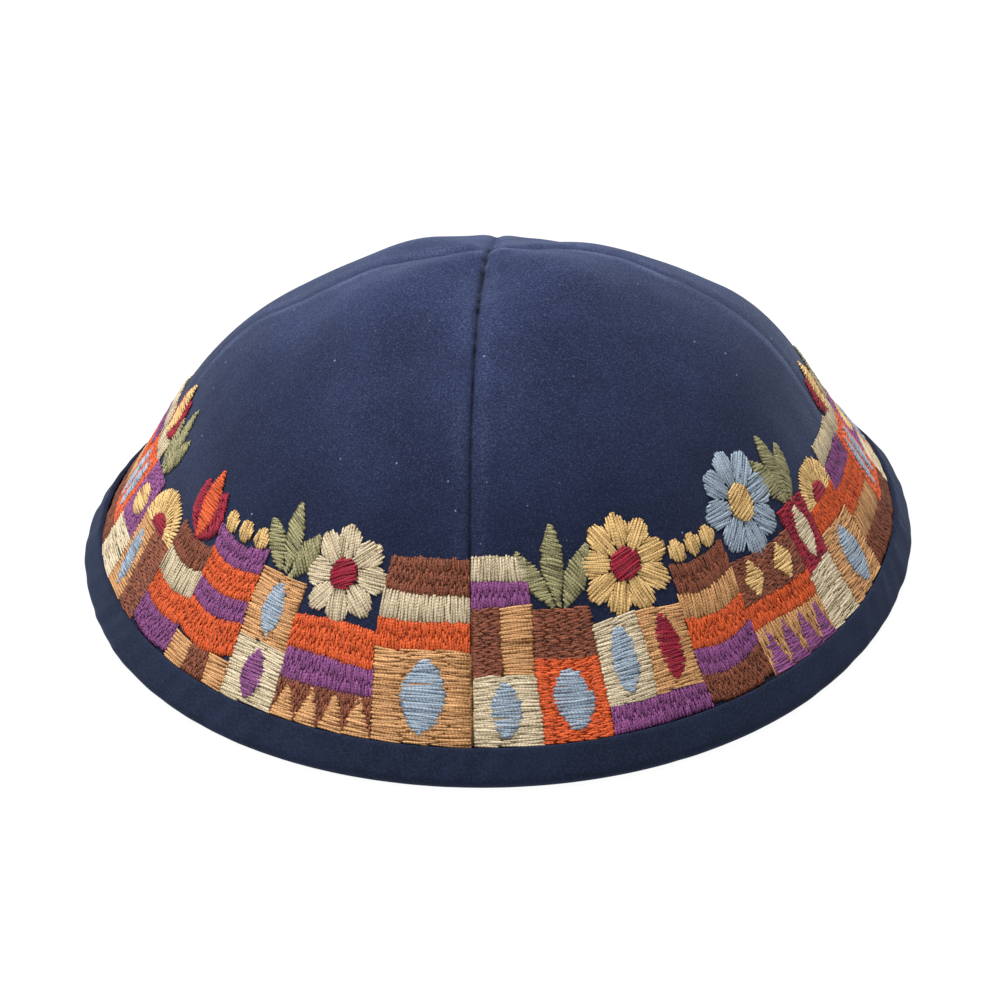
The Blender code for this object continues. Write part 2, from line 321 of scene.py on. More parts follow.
def reach_up(azimuth, up):
    """The reach at a distance up the wall from the cut edge, read from the table."""
    a = (azimuth % (2 * math.pi)) / (2 * math.pi) * AZIMUTH_STEPS
    u = np.clip(up, 0, UP_END) / UP_END * (UP_STEPS - 1)
    i, j = np.minimum(a.astype(int), AZIMUTH_STEPS - 1), np.minimum(u.astype(int), UP_STEPS - 2)
    s, t = a - i, u - j
    low = REACHES[i, j] * (1 - s) + REACHES[i + 1, j] * s
    high = REACHES[i, j + 1] * (1 - s) + REACHES[i + 1, j + 1] * s
    return low * (1 - t) + high * t


# Meshes

def new_piece(name, verts, faces, materials, slots=None):
    mesh = bpy.data.meshes.new(name)
    mesh.from_pydata(np.asarray(verts).reshape(-1, 3).tolist(), [], faces)
    for material in materials:
        mesh.materials.append(material)
    if slots is not None:
        mesh.polygons.foreach_set("material_index", np.asarray(slots, dtype=np.int32))
    mesh.polygons.foreach_set("use_smooth", np.full(len(mesh.polygons), True))
    mesh.update()
    piece = bpy.data.objects.new(name, mesh)
    bpy.context.scene.collection.objects.link(piece)
    return piece


def grid_faces(columns, rows, start=0):
    """Faces of a grid whose points run row by row within a column, facing out when columns run right."""
    c, r = np.meshgrid(np.arange(columns), np.arange(rows), indexing="ij")
    corner = c.ravel() * (rows + 1) + r.ravel()
    return np.stack([corner, corner + rows + 1, corner + rows + 2, corner + 1], axis=1) + start


# Materials

def linear(hex_color):
    """An sRGB hex value as the linear colour that a socket takes."""
    channels = [int(hex_color[i:i + 2], 16) / 255 for i in (1, 3, 5)]
    return (*[c / 12.92 if c <= 0.04045 else ((c + 0.055) / 1.055) ** 2.4 for c in channels], 1.0)


def new_material(name, **sockets):
    material = bpy.data.materials.new(name)
    material.use_nodes = True
    shader = material.node_tree.nodes["Principled BSDF"]
    for socket, value in sockets.items():
        shader.inputs[socket.replace("_", " ")].default_value = value
    return material, shader


def add(material, kind, settings=(), out=0, **links):
    """Adds a node with its settings and links, and gives back one of its outputs.

    A link's value is another node's output, or a constant for the input. Its name is the input's, or _ and
    the input's number. A Mix node of colours takes its share at 0 and its colours at 6 and 7, and gives 2.
    """
    node = material.node_tree.nodes.new(kind)
    for key, value in dict(settings).items():
        setattr(node, key, value)
    for name, value in links.items():
        number = name.removeprefix("_")
        target = node.inputs[int(number) if number.isdigit() else name.replace("_", " ")]
        if isinstance(value, bpy.types.NodeSocket):
            material.node_tree.links.new(value, target)
        else:
            target.default_value = value
    return node.outputs[out]


def finish_with(material, shader, **sockets):
    for socket, value in sockets.items():
        material.node_tree.links.new(value, shader.inputs[socket.replace("_", " ")])
    return material


COLOURS = {"data_type": "RGBA"}
TIMES = {"operation": "MULTIPLY"}

# Sizes of the patterns. One too fine for the render is drawn just coarse enough to show there.
NAP_PATCH = 18.18 * MM      # the nap lies one way over this length
NAP_TUFT = 0.3448 * MM      # tufts of nap are about 0.1 mm wide, so they are drawn coarser
LINT_ROOM = 4.762 * MM      # a cube of this width holds one speck of lint at most
WORN_PATCH = 11.11 * MM     # the cloth has faded unevenly over this length
CLOTH_GRAIN = 0.4167 * MM   # the threads are 0.25 mm apart, so they are drawn coarser
SHINE_LENGTH = 0.7692 * MM  # a stitch's filaments catch the light over this length


def suede():
    """Brushed navy suede: a short nap that lies in patches, so it is matte with a soft pale bloom."""
    material, shader = new_material(
        "navy_suede", Roughness=0.95, IOR=1.45, Specular_IOR_Level=0.12,
        Sheen_Roughness=0.45, Sheen_Tint=linear("#a3b2d8"),
    )
    where = add(material, "ShaderNodeTexCoord", out="Object")
    patches = add(
        material, "ShaderNodeTexNoise", Vector=where, Scale=1 / NAP_PATCH, Detail=5.0, Roughness=0.6,
    )
    nap = add(material, "ShaderNodeTexNoise", Vector=where, Scale=1 / NAP_TUFT, Detail=2.0, Roughness=0.7)
    speck = add(material, "ShaderNodeTexVoronoi", out="Distance", Vector=where, Scale=1 / LINT_ROOM)
    shade = add(material, "ShaderNodeAttribute", {"attribute_name": "seam_shade"}, "Fac")
    wear = add(material, "ShaderNodeAttribute", {"attribute_name": "seam_wear_and_highlight"}, "Fac")
    steep_shade = add(material, "ShaderNodeAttribute", {"attribute_name": "steep_wall_shade"}, "Fac")

    # The nap's colour: patches, then its deep roots and pale tips, then painted shade, darker on the steep
    # walls
    lie = add(material, "ShaderNodeMapRange", Value=patches, From_Min=0.35, From_Max=0.68)
    brushed = add(material, "ShaderNodeMix", COLOURS, 2, _0=lie, _6=linear("#1e253f"), _7=linear("#2a3353"))
    roots = add(material, "ShaderNodeMapRange", Value=nap, From_Min=0.28, From_Max=0.56)
    grained = add(material, "ShaderNodeMix", COLOURS, 2, _0=roots, _6=linear("#101526"), _7=brushed)
    tips = add(material, "ShaderNodeMapRange", Value=nap, From_Min=0.57, From_Max=0.82)
    raised = add(material, "ShaderNodeMix", COLOURS, 2, _0=tips, _6=grained, _7=linear("#4a5575"))
    dimmed = add(material, "ShaderNodeMapRange", Value=steep_shade, To_Max=0.54)
    shaded_on_walls = add(material, "ShaderNodeMix", COLOURS, 2, _0=dimmed, _6=raised, _7=linear("#0c1020"))

    # Lint, a pale band beside the seams of worn nap and partly a painted highlight, and painted shade in
    # them
    lint = add(material, "ShaderNodeMapRange", Value=speck, From_Min=0.055, From_Max=0.02, To_Max=0.75)
    flecked = add(material, "ShaderNodeMix", COLOURS, 2, _0=lint, _6=shaded_on_walls, _7=linear("#7c88a8"))
    bristle = add(
        material, "ShaderNodeMapRange", Value=nap, From_Min=0.38, From_Max=0.62, To_Min=0.1, To_Max=0.9,
    )
    rubbing_and_highlight = add(material, "ShaderNodeMath", TIMES, _0=wear, _1=bristle)
    rubbed_and_highlit = add(material, "ShaderNodeMix", COLOURS, 2, _0=rubbing_and_highlight, _6=flecked, _7=linear("#6d7ba3"))
    shaded = add(material, "ShaderNodeMix", COLOURS, 2, _0=shade, _6=rubbed_and_highlit, _7=linear("#070914"))

    # The bloom of light on the nap's tips, weaker in the seams and on the steep walls
    tip_bloom = add(
        material, "ShaderNodeMapRange", Value=nap, From_Min=0.3, From_Max=0.7, To_Min=0.26, To_Max=0.56,
    )
    seam_bloom = add(material, "ShaderNodeMapRange", Value=shade, From_Max=0.9, To_Min=1.0, To_Max=0.1)
    level_bloom = add(material, "ShaderNodeMapRange", Value=steep_shade, To_Min=1.0, To_Max=0.5)
    open_bloom = add(material, "ShaderNodeMath", TIMES, _0=tip_bloom, _1=seam_bloom)
    bloom = add(material, "ShaderNodeMath", TIMES, _0=open_bloom, _1=level_bloom)
    bump = add(material, "ShaderNodeBump", Strength=0.5, Distance=0.2 * MM, Height=nap)
    return finish_with(material, shader, Base_Color=shaded, Sheen_Weight=bloom, Normal=bump)


def plain_cloth(name, color, worn, fleck):
    """Plain-woven cotton blend: matte and flat, with a fine grain where the threads cross."""
    material, shader = new_material(
        name, Roughness=0.88, IOR=1.5, Specular_IOR_Level=0.10, Sheen_Weight=0.10, Sheen_Roughness=0.5,
        Sheen_Tint=linear("#8fa0cc"),
    )
    where = add(material, "ShaderNodeTexCoord", out="Object")
    patches = add(
        material, "ShaderNodeTexNoise", Vector=where, Scale=1 / WORN_PATCH, Detail=4.0, Roughness=0.6,
    )
    grain = add(
        material, "ShaderNodeTexNoise", Vector=where, Scale=1 / CLOTH_GRAIN, Detail=2.0, Roughness=0.7,
    )
    faded = add(material, "ShaderNodeMapRange", Value=patches, From_Min=0.35, From_Max=0.7)
    tone = add(material, "ShaderNodeMix", COLOURS, 2, _0=faded, _6=linear(color), _7=linear(worn))
    crossings = add(material, "ShaderNodeMapRange", Value=grain, From_Min=0.42, From_Max=0.72)
    flecked = add(material, "ShaderNodeMix", COLOURS, 2, _0=crossings, _6=tone, _7=linear(fleck))
    bump = add(material, "ShaderNodeBump", Strength=0.35, Distance=0.12 * MM, Height=grain)
    return finish_with(material, shader, Base_Color=flecked, Normal=bump)


# painted highlights and shade in the thread's colour, along the plies' twist and the filaments' shine
PLY_CONTRAST = 0.17
SHINE_CONTRAST = 0.24


def thread(name, color, deep):
    """Two-ply rayon thread: bright filaments with a soft shine, and slanting lines where the plies twist,
    both painted into its colour as highlights and shade.
    """
    material, shader = new_material(
        "thread_" + name, Roughness=0.50, IOR=1.52, Specular_IOR_Level=0.26,
    )
    where = add(material, "ShaderNodeTexCoord", out="Object")
    shine = add(
        material, "ShaderNodeTexNoise", Vector=where, Scale=1 / SHINE_LENGTH, Detail=2.0, Roughness=0.7,
    )
    varied = add(
        material, "ShaderNodeMapRange", Value=shine, From_Min=0.3, From_Max=0.7,
        To_Min=-SHINE_CONTRAST, To_Max=SHINE_CONTRAST,
    )
    strand = add(material, "ShaderNodeAttribute", {"attribute_name": "strand_tone"}, "Fac")
    lay = add(material, "ShaderNodeAttribute", {"attribute_name": "ply_turn"}, "Fac")
    turn = add(material, "ShaderNodeMath", TIMES, _0=lay, _1=2 * math.pi)
    plies = add(material, "ShaderNodeMath", {"operation": "SINE"}, _0=turn)
    # painted highlights and shade: the plies and the shine lighten and darken the tone
    uneven = add(
        material, "ShaderNodeMath", {"operation": "MULTIPLY_ADD"}, _0=plies, _1=PLY_CONTRAST, _2=varied,
    )
    share = add(material, "ShaderNodeMath", {"operation": "ADD", "use_clamp": True}, _0=strand, _1=uneven)
    tone = add(material, "ShaderNodeMix", COLOURS, 2, _0=share, _6=linear(deep), _7=linear(color))
    bump = add(material, "ShaderNodeBump", Strength=0.6, Distance=0.04 * MM, Height=plies)
    return finish_with(material, shader, Base_Color=tone, Normal=bump)


SUEDE = suede()
BINDING_CLOTH = plain_cloth("dark_navy_binding_cloth", "#101623", "#161d30", "#1f273e")
BACKING_CLOTH = plain_cloth("navy_backing_cloth", "#151a2e", "#1c2239", "#2f3756")

ThreadTone = namedtuple("ThreadTone", "color deep")
THREADS = {
    "orange": ThreadTone("#d55a27", "#822c0d"),
    "purple": ThreadTone("#894a80", "#432242"),
    "brown": ThreadTone("#864a33", "#3c1e13"),
    "tan": ThreadTone("#cb9a68", "#70461f"),
    "cream": ThreadTone("#cfbfa3", "#817150"),
    "gold": ThreadTone("#e1bd80", "#825f2c"),
    "crimson": ThreadTone("#97122f", "#440616"),
    "blue": ThreadTone("#9ba9b6", "#4f5c6d"),
    "olive": ThreadTone("#9b956c", "#46422b"),
}
THREAD_MATERIALS = [thread(name, *tone) for name, tone in THREADS.items()]
THREAD_SLOT = {name: i for i, name in enumerate(THREADS)}


# Suede panels

PANEL_CELLS = 96
CROWN_SWEEP = math.radians(60)
PANEL_HALF_GAP = 0.004 * MM
EVEN_SHARE, CROWDING = 0.12, 1.7    # the cells crowd towards the seams, where the relief is fine


def quarter_plan(along, across):
    """Maps a square of cells to a quarter of the unit disc, with its small cells beside the seams."""
    size = np.maximum(along, across)
    reach = np.sin(CROWN_SWEEP * size) / math.sin(CROWN_SWEEP)
    safe = np.maximum(size, 1e-9)
    angle = np.where(along >= across, QUARTER / 2 * across / safe, QUARTER - QUARTER / 2 * along / safe)
    half_gap = PANEL_HALF_GAP / CLOTH_RADIUS
    x, y = reach * np.cos(angle), reach * np.sin(angle)
    return half_gap + (1 - half_gap) * x, half_gap + (1 - half_gap) * y


def suede_panel(panel):
    steps = np.linspace(0, 1, PANEL_CELLS + 1)
    steps = EVEN_SHARE * steps + (1 - EVEN_SHARE) * steps**CROWDING
    along, across = np.meshgrid(steps, steps, indexing="ij")
    x, y = quarter_plan(along, across)
    turn_cos, turn_sin = round(math.cos(panel.quarter * QUARTER)), round(math.sin(panel.quarter * QUARTER))
    plan_x, plan_y = x * turn_cos - y * turn_sin, x * turn_sin + y * turn_cos
    outer = on_cloth(plan_x, plan_y)
    inner = crown(plan_x, plan_y) - outward(plan_x, plan_y) * CLOTH_THICKNESS
    count = (PANEL_CELLS + 1) ** 2
    front = grid_faces(PANEL_CELLS, PANEL_CELLS)
    back = grid_faces(PANEL_CELLS, PANEL_CELLS, start=count)[:, ::-1]
    index = np.arange(count).reshape(PANEL_CELLS + 1, PANEL_CELLS + 1)
    loop = np.concatenate([index[:-1, 0], index[-1, :-1], index[:0:-1, -1], index[0, :0:-1]])
    after = np.roll(loop, -1)
    rim = np.stack([loop, loop + count, after + count, after], axis=1)
    faces = np.concatenate([front, back, rim])
    slots = np.concatenate([np.zeros(len(front)), np.ones(len(back)), np.zeros(len(rim))])
    piece = new_piece(
        "suede_" + panel.name, np.concatenate([outer.reshape(-1, 3), inner.reshape(-1, 3)]), faces.tolist(),
        [SUEDE, BACKING_CLOTH], slots,
    )
    for name, looks in zip(("seam_shade", "seam_wear_and_highlight", "steep_wall_shade"), cloth_looks(plan_x, plan_y)):
        layer = piece.data.attributes.new(name, "FLOAT", "POINT")
        values = np.concatenate([looks.ravel(), 0 * looks.ravel()])
        layer.data.foreach_set("value", values.astype(np.float32))
    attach(piece, "root")
    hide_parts("panel_" + panel.name)


for panel in PANELS:
    suede_panel(panel)


# Binding

BINDING_COLUMNS = 720
NEAR_EDGE = 0.99                # a reach just inside the cut edge
TOP_ROUNDING = 0.30 * MM
SLANT_CREASES = Ripple(0.13 * MM, 7 * MM, 21)
LONG_CREASES = Ripple(0.16 * MM, 38 * MM, 22)


def binding_ring():
    """The folded strip, from its outer top edge round the fold to its inner top edge."""
    azimuth = np.linspace(0, 2 * math.pi, BINDING_COLUMNS, endpoint=False)
    edge_x, edge_y = np.cos(azimuth), np.sin(azimuth)
    edge = crown(edge_x, edge_y)
    normal = outward(edge_x, edge_y)
    upward = unit(crown(edge_x * NEAR_EDGE, edge_y * NEAR_EDGE) - edge)

    def at(up, depth):
        reach = reach_up(azimuth, np.full_like(azimuth, max(up, 0.0)))
        base = crown(edge_x * reach, edge_y * reach) + upward * min(up, 0.0)
        lean = outward(edge_x * reach, edge_y * reach)
        return base - lean * depth

    bevel = 0.3 * TOP_ROUNDING
    outer, inner = -BINDING_BUILD, CLOTH_THICKNESS + BINDING_BUILD
    section = []
    for down, inset in ((TOP_ROUNDING, 0.0), (bevel, bevel), (0.0, TOP_ROUNDING)):
        section.insert(0, at(BINDING_TOP - down, outer + inset))
    for share in (0.8, 0.6, 0.4, 0.2, 0.0):
        section.append(at(BINDING_TOP * share, outer))
    for turn in np.radians(np.arange(-75, 91, 15)):
        section.append(at(-FOLD_RADIUS * math.cos(turn), CLOTH_THICKNESS / 2 + FOLD_RADIUS * math.sin(turn)))
    for share in (0.33, 0.67, 0.96):
        section.append(at(BINDING_TOP * share, inner))
    creased = len(section)
    section.append(at(BINDING_TOP, inner - TOP_ROUNDING))
    section.append(at(BINDING_TOP, CLOTH_THICKNESS + CLEARANCE))
    section.append(at(-CLEARANCE, CLOTH_THICKNESS + CLEARANCE))
    section.append(at(-CLEARANCE, -CLEARANCE))
    section.append(at(BINDING_TOP, -CLEARANCE))
    points = np.stack(section, axis=1)
    around = azimuth[:, None] * RIM_RADIUS
    height = points[:, :creased, 2]
    crease = rippled(SLANT_CREASES, around - 0.8 * height, height * 0.4)
    crease += rippled(LONG_CREASES, around, height * 0)
    points[:, :creased] += normal[:, None] * crease[..., None]
    points[..., 2] = np.maximum(points[..., 2], 0.0)
    rows = points.shape[1]
    c, r = np.meshgrid(np.arange(BINDING_COLUMNS), np.arange(rows), indexing="ij")
    c, r = c.ravel(), r.ravel()
    c2, r2 = (c + 1) % BINDING_COLUMNS, (r + 1) % rows
    faces = np.stack([c * rows + r, c * rows + r2, c2 * rows + r2, c2 * rows + r], axis=1)
    piece = new_piece("binding_strip", points, faces.tolist(), [BINDING_CLOTH])
    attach(piece, "root")
    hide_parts("rim_binding")


binding_ring()


# Embroidery: motifs

# A patch is an area of one colour on a panel, in millimetres: x from the panel's left seam at the
# band's middle height, y up from the binding. turn_deg is the way its stitches run, 0 across.
Patch = namedtuple("Patch", "outline colour turn_deg layer")
# Rays are stitches that spread from a middle point, as in a sun or a shell.
Rays = namedtuple("Rays", "x y inner outer start_deg end_deg colour layer")
PANEL_SPAN = 119.0


def box(x0, y0, x1, y1, colour, turn_deg=0):
    return [Patch([(x0, y0), (x1, y0), (x1, y1), (x0, y1)], colour, turn_deg, 0)]


def lozenge(x, y, width, height, colour):
    half_width, half_height = width / 2, height / 2
    outline = [(x - half_width, y), (x, y - half_height), (x + half_width, y), (x, y + half_height)]
    return [Patch(outline, colour, 0, 1)]


def arc(x, y, radius, angles_deg):
    return [(x + radius * math.cos(a), y + radius * math.sin(a)) for a in np.radians(angles_deg)]


def disc(x, y, radius, colour, turn_deg=0, layer=1):
    return [Patch(arc(x, y, radius, range(0, 360, 20)), colour, turn_deg, layer)]


def petal(x, y, length, width, heading_deg, colour, layer=1, fullest=0.55, slant_deg=68, bluntness=1.0):
    """A leaf or petal from its foot at x, y, stitched across. A low bluntness makes its ends round."""
    cos, sin = math.cos(math.radians(heading_deg)), math.sin(math.radians(heading_deg))
    side = []
    for step in range(1, 12):
        t = step / 12
        bulge = math.sin(math.pi * t ** (math.log(0.5) / math.log(fullest))) ** bluntness
        side.append((t * length, bulge * width / 2))
    outline = [(0, 0)] + [(a, -b) for a, b in side] + [(length, 0)] + side[::-1]
    outline = [(x + a * cos - b * sin, y + a * sin + b * cos) for a, b in outline]
    return [Patch(outline, colour, heading_deg + slant_deg, layer)]


def seed(x, y, height, width, colour):
    """An upright oval, stitched straight across."""
    return petal(x, y, height, width, 90, colour, 1, 0.5, 90, 0.62)


def rosette(x, y, radius, petals, colour, centre):
    """A flower of blunt petals, each stitched from the heart to its tip."""
    patches = []
    for i in range(petals):
        heading_deg = 90 + 360 / petals * i
        heading = math.radians(heading_deg)
        foot_x, foot_y = x + radius * 0.16 * math.cos(heading), y + radius * 0.16 * math.sin(heading)
        width = 2 * math.pi * radius * 0.70 / petals
        patches += petal(foot_x, foot_y, radius * 0.84, width, heading_deg, colour, 0, 0.68, 0, 0.55)
    return patches + disc(x, y, radius * 0.33, centre, 20, 2)


def leaf_spray(x, y, height, leaves, colour, spread_deg):
    patches = []
    for i in range(leaves):
        off = (i - (leaves - 1) / 2) / max(1, (leaves - 1) / 2)
        length = height * (1 - 0.20 * abs(off))
        patches += petal(x + off * 0.8, y, length, 4.4, 90 - off * spread_deg / 2, colour, 0)
    return patches


def half_sun(x, y, radius, colour, heart):
    rays = [Rays(x, y, radius * 0.36, radius, 0, 180, colour, 0)]
    return rays + [Patch(arc(x, y, radius * 0.40, range(0, 181, 20)), heart, 0, 1)]


def bars(x0, y0, x1, heights, colours, bow=0.0):
    """Bars laid on each other, each stitched upright, with a bow that lifts their ends."""
    patches, y = [], y0
    for i, height in enumerate(heights):
        across = np.linspace(x0, x1, 7)
        lift = bow * (2 * (across - x0) / (x1 - x0) - 1) ** 2
        outline = [(a, y + b) for a, b in zip(across, lift)]
        outline += [(a, y + height + b) for a, b in zip(across[::-1], lift[::-1])]
        patches.append(Patch(outline, colours[i % len(colours)], 90, 0))
        y += height
    return patches


def checks(x0, x1, height, count, colours):
    patches = []
    for i in range(count):
        a, b = x0 + (x1 - x0) * i / count, x0 + (x1 - x0) * (i + 1) / count
        patches += box(a, 0.0, b, height, colours[i % len(colours)], 90 if i % 2 else 0)
    return patches


def zigzag(x0, x1, y0, y1, teeth, low, high):
    """A row of teeth over a plain strip."""
    patches = box(x0, y0, x1, y1, high, 90)
    width = (x1 - x0) / teeth
    for i in range(teeth):
        a = x0 + width * i
        patches.append(Patch([(a, y0), (a + width, y0), (a + width / 2, y1)], low, 0, 1))
    return patches


def tulip(x, y, width, height, colour, heart):
    patches = petal(x, y, height * 0.84, width * 0.66, 90 + 24, colour, 0, 0.5)
    patches += petal(x, y, height * 0.84, width * 0.66, 90 - 24, colour, 0, 0.5)
    return patches + petal(x, y, height, width * 0.5, 90, heart, 1, 0.5, 90)


def berries(x0, x1, y, count, radius, colour):
    places = np.linspace(x0 + radius, x1 - radius, count)
    return [patch for place in places for patch in disc(place, y, radius, colour, 90, 0)]


def garden():
    """The design of two panels, from the left seam to the right one."""
    return (
        box(0, 0, 14, 5.5, "brown", 90)
        + box(0, 5.5, 14, 23.5, "orange")
        + seed(4.2, 7.5, 14, 3.8, "blue")
        + seed(9.8, 7.5, 14, 3.8, "blue")
        + box(0, 23.5, 14, 28, "cream", 90)
        + tulip(7, 27, 13, 13.5, "crimson", "gold")
        + box(14, 0, 25, 9.5, "cream")
        + box(14, 9.5, 25, 24, "purple")
        + disc(19.5, 16.5, 3.5, "gold")
        + leaf_spray(19.5, 23.5, 15.5, 3, "olive", 52)
        + box(25, 0, 33, 17, "tan")
        + box(33, 0, 41, 17, "brown")
        + seed(29, 2, 13, 4.2, "blue")
        + half_sun(33, 17, 8.6, "gold", "crimson")
        + bars(41, 0, 55, (6, 5.4, 6, 5.4), ("purple", "orange", "cream", "brown"), 1.0)
        + tulip(48, 22.8, 12, 15, "crimson", "orange")
        + checks(55, 71, 6.0, 3, ("tan", "brown"))
        + bars(55, 6.0, 71, (6.2, 4.6, 6.2, 4.6), ("orange", "purple"), 1.3)
        + berries(56, 70, 30.4, 3, 2.0, "gold")
        + box(71, 0, 82, 12, "cream")
        + box(71, 12, 82, 26.5, "tan")
        + seed(76.5, 13.3, 12, 4.8, "blue")
        + seed(76.5, 1.2, 9.5, 4.4, "purple")
        + leaf_spray(76.5, 26, 14.5, 3, "olive", 66)
        + zigzag(82, 101, 0, 8, 4, "tan", "brown")
        + bars(82, 8, 101, (5.4, 6.6), ("purple", "orange"))
        + rosette(91.5, 29.3, 9.8, 8, "cream", "crimson")
        + box(101, 0, 119, 17.5, "tan")
        + seed(110, 1.6, 14.6, 7.6, "blue")
        + bars(101, 17.5, 119, (5.6, 5.4, 6.4), ("orange", "cream", "brown"))
    )


def orchard():
    """The design of the other two panels, from the left seam to the right one."""
    return (
        box(0, 0, 12, 13, "cream")
        + seed(6, 1.4, 10.6, 5.4, "blue")
        + box(0, 13, 6, 26, "brown")
        + box(6, 13, 12, 26, "tan")
        + bars(0, 26, 12, (4.8, 4.6), ("purple", "cream"))
        + box(12, 0, 24, 16, "orange")
        + seed(18, 1.6, 13, 6.8, "blue")
        + box(12, 16, 24, 25, "brown")
        + leaf_spray(18, 24.5, 17.5, 3, "olive", 62)
        + box(24, 0, 43, 5.5, "purple", 90)
        + box(24, 5.5, 33.5, 21.5, "cream")
        + box(33.5, 5.5, 43, 21.5, "tan")
        + seed(28.8, 7.2, 12.8, 5.0, "blue")
        + seed(38.2, 7.2, 12.8, 5.0, "crimson")
        + rosette(33.5, 31.0, 10.2, 9, "gold", "crimson")
        + bars(43, 0, 58, (6, 5, 6, 5, 5.5), ("brown", "purple", "orange", "tan", "brown"), 1.0)
        + berries(44, 57, 30.6, 3, 2.0, "gold")
        + zigzag(58, 77, 0, 9, 4, "purple", "tan")
        + box(58, 9, 77, 14.5, "orange", 90)
        + box(58, 14.5, 77, 23.5, "brown")
        + lozenge(63, 19, 5.6, 8.4, "gold")
        + lozenge(72, 19, 5.6, 8.4, "gold")
        + rosette(67.5, 33.2, 10.8, 8, "blue", "gold")
        + box(77, 0, 87, 12.5, "cream")
        + box(77, 12.5, 87, 27, "crimson")
        + seed(82, 14, 12, 4.6, "cream")
        + leaf_spray(82, 26.5, 16, 3, "olive", 44)
        + box(87, 0, 102, 16, "tan")
        + seed(94.5, 1.4, 13.4, 7.0, "blue")
        + box(87, 16, 102, 22, "orange", 90)
        + half_sun(94.5, 22, 8.4, "gold", "crimson")
        + bars(102, 0, 119, (6.5, 5.5, 6.5, 5.5), ("brown", "tan", "orange", "purple"), 0.6)
        + box(102, 24.7, 119, 29.6, "cream", 90)
    )


# Embroidery: stitches

# Rayon thread, pressed to 0.49 mm wide, is laid as satin stitch. Neighbours share a needle hole at one
# end, so the stitches lie in pairs and an area's edge is a row of small teeth. Lengths here that don't
# say MM are in millimetres, as the patches are.
SHARED_HOLE = 0.38              # share of the step that each end leans to its neighbour

# A fill's step is from row to row, and its break_gap is half the room between stitches that meet
Fill = namedtuple("Fill", "step stitch break_gap")
LONG_FILL = Fill(0.36, 5.8, 0.12)
SHORT_FILL = Fill(0.31, 2.4, 0.0)
SHORT_FILLED = ("orange", "purple", "brown", "crimson")     # deep grounds look finely grained
STAGGER = (-0.21, 0.09, 0.23, -0.10)    # where a row's stitches break, as shares of the usual stitch
BREAK_SCATTER = 0.07
SHORTEST_STITCH = 0.7
RAY_RINGS = ((0.0, 0.55), (0.45, 1.0))  # from the inner arc at 0 to the outer one at 1
RAGGED_END = 0.19
END_OVERLAP = 0.12
HOLE_SCATTER = 0.045            # how far a needle hole strays across its row
PULL = 0.38                     # how far the areas are pulled out of true by the sewing
PULL_WAVE = 22.0
PULL_ROOM = 6.0                 # the pull fades out this near to a seam or to the binding
STRAND_HALF_WIDTH = 0.245 * MM
STRAND_HALF_HEIGHT = 0.13 * MM
STRAND_SIDES = 4
STRAND_SCATTER = 0.08           # how much the stitches' thickness differs
END_THICKNESS = 0.55            # a stitch narrows to this share where it enters the cloth
END_PLACES = (0.0, 0.42)        # from a stitch's end to its first two points
END_PART = 0.22                 # the most of a short stitch's length that its round end takes
END_RISE, MIDDLE_RISE = (0.22, 0.86), 1.04
SHORT_RISE, RISE_PER_MM = 0.45, 0.28    # short stitches are pulled down
LOOSENESS = 0.16                # how much the stitches' height differs
MOST_BOW, BOW_SHARE = 0.08, 0.018       # the most a stitch bends, and its share of the length
PLY_LAY = 0.60                  # along a strand from one ply's line to the next
STITCH_RISE = 0.30 * MM
LAYER_RISE = 0.22 * MM
LAYER_END = 0.45                # share of a layer's rise that a stitch's ends keep
STITCH_FOOT = 0.06 * MM
BAND_FOOT = BINDING_TOP + 0.15 * MM
SEAM_ROOM = 0.32                # the last stitch hole keeps this far from a seam

# Tones run from a thread's deep colour at 0 to its bright one at 1
TOP_TONE = 0.62
TONE_BY_STITCH, TONE_BY_POINT = 0.15, 0.10
END_SHADE = 0.20
# painted shade: the underlay's tone, dark as it lies under the satin
UNDERLAY_SHADE_TONE = 0.20

# Flat stitches under the satin ones, across them, hold the cloth and fill the gaps, coloured in a deep tone
# that is painted shade under the satin
UNDERLAY_STEP = 0.78
UNDERLAY_INSET = 0.25
UNDERLAY_STITCH = 5.0
UNDERLAY_SHORTEST = 0.8
UNDERLAY_HALF_WIDTH = 0.56 * MM
UNDERLAY_HALF_HEIGHT = 0.09 * MM
UNDERLAY_LIFT = 0.08 * MM


def rows_in(outline, turn_deg, step):
    """Places where straight rows cross an outline: row number, row, start and end along the row."""
    turn = math.radians(turn_deg)
    cos, sin = math.cos(turn), math.sin(turn)
    outline = np.array(outline)
    along = outline[:, 0] * cos + outline[:, 1] * sin
    across = -outline[:, 0] * sin + outline[:, 1] * cos
    next_along, next_across = np.roll(along, -1), np.roll(across, -1)
    found = []
    for number, row in enumerate(np.arange(across.min() + step * 0.5, across.max(), step)):
        crossed = (across <= row) != (next_across <= row)
        share = (row - across[crossed]) / (next_across[crossed] - across[crossed])
        ends = np.sort(along[crossed] + share * (next_along[crossed] - along[crossed]))
        found += [(number, row, start, end) for start, end in zip(ends[::2], ends[1::2])]
    return found, cos, sin


def turned(stitches, cos, sin):
    if not stitches:
        return np.zeros((0, 4))
    x0, y0, x1, y1 = np.array(stitches).T
    ends = [x0 * cos - y0 * sin, x0 * sin + y0 * cos, x1 * cos - y1 * sin, x1 * sin + y1 * cos]
    return np.stack(ends, axis=1)


